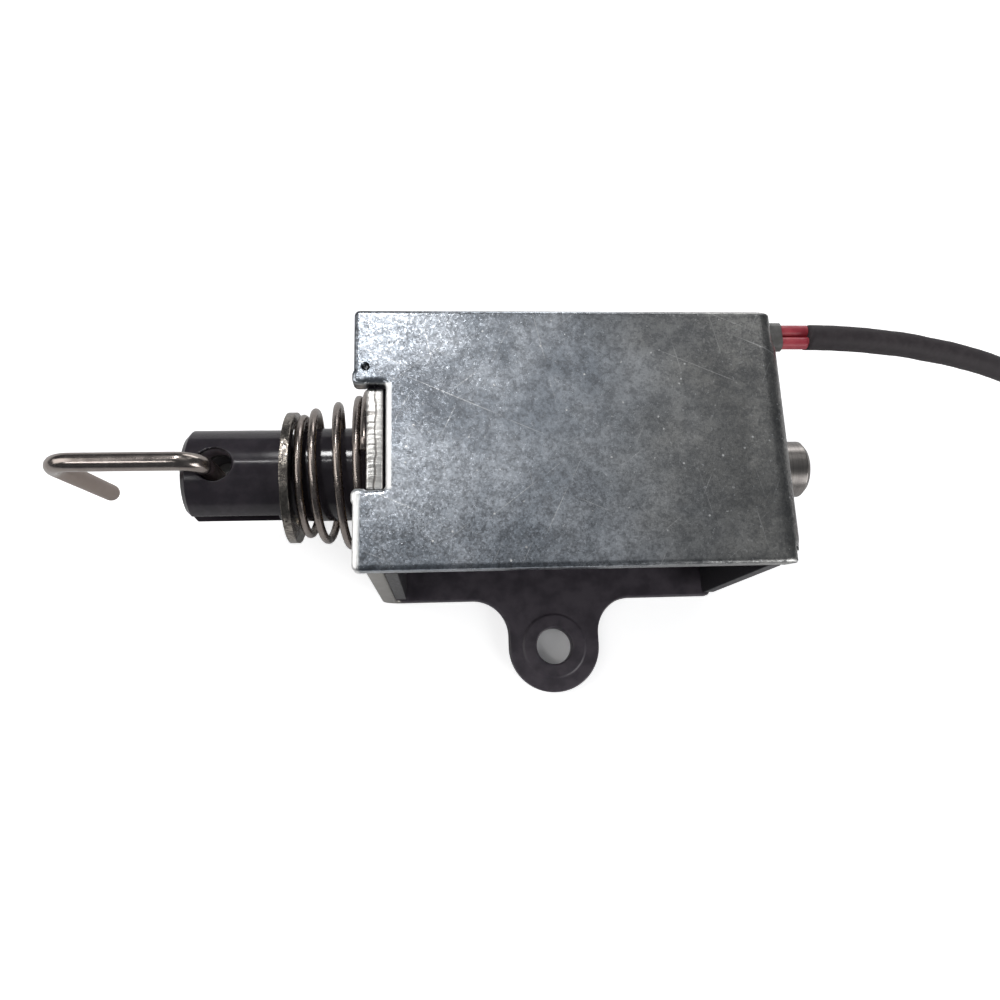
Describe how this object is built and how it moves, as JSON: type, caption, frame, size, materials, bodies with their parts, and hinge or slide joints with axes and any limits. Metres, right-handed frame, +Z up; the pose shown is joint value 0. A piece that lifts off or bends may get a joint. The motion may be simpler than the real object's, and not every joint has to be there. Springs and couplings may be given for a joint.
{
  "type": "push pull solenoid",
  "caption": "Box frame solenoid: sprung plunger with a wire hook at one end, a push tip at the other, a screw ear at the side and sleeved leads to a small plug.",
  "frame": {"origin": "centre of the face that is screwed down, the underside of the mounting bracket's base, midway along the upper yoke", "axes": "+X along the plunger from its hook end to its push tip, +Y away from the screw ear, +Z up from the mounting face towards the upper plate"},
  "size_m": [0.1845, 0.0474, 0.032],
  "materials": {
    "zinc_steel": "zinc-plated, mottled",
    "black_steel": "satin black coating",
    "black_moulding": "moulded",
    "copper_wire": "enamelled copper wire",
    "black_tape": "wrapping tape",
    "brass_tube": "drawn",
    "pole_steel": "turned",
    "white_nylon": "moulded",
    "black_plunger": "gloss black",
    "ring_steel": "stamped",
    "spring_steel": "dark spring wire",
    "rod_steel": "ground",
    "tip_steel": "polished",
    "hook_wire": "polished wire",
    "tinned_pins": "tinned",
    "pale_spout": "insulating sheet",
    "red_insulation": "wire insulation",
    "black_sleeve": "flexible sleeve",
    "contact_brass": "stamped"
  },
  "bodies": {
    "body": {"yoke": "zinc_steel", "mounting_bracket": "black_steel", "bobbin": "black_moulding", "coil_winding": "copper_wire", "coil_tape": "black_tape", "guide_tube": "brass_tube", "fixed_pole": "pole_steel", "bumper_washer": "white_nylon", "return_spring": "spring_steel", "terminal_pins": "tinned_pins", "terminal_tags": "tinned_pins", "lead_spout": "pale_spout", "lead_wires": "red_insulation", "lead_sleeve": "black_sleeve", "lead_tails": "red_insulation", "connector_housing": "white_nylon", "connector_contacts": "contact_brass"},
    "plunger": {"plunger": "black_plunger", "retaining_ring": "ring_steel", "push_rod": "rod_steel", "push_tip": "tip_steel"},
    "hook": {"hook": "hook_wire"}
  },
  "joints": [
    {"name": "plunger_slide", "type": "slide", "parent": "body", "child": "plunger", "axis": [1, 0, 0], "range_m": [0, 0.004], "stiffness_N_per_m": 400, "springref_m": -0.003, "deforming": ["return_spring"]},
    {"name": "hook_swing", "type": "hinge", "parent": "plunger", "child": "hook", "pos_m": [-0.0453, 0, 0.0152], "axis": [0, 0, 1], "range_deg": [-75, 75]}
  ]
}
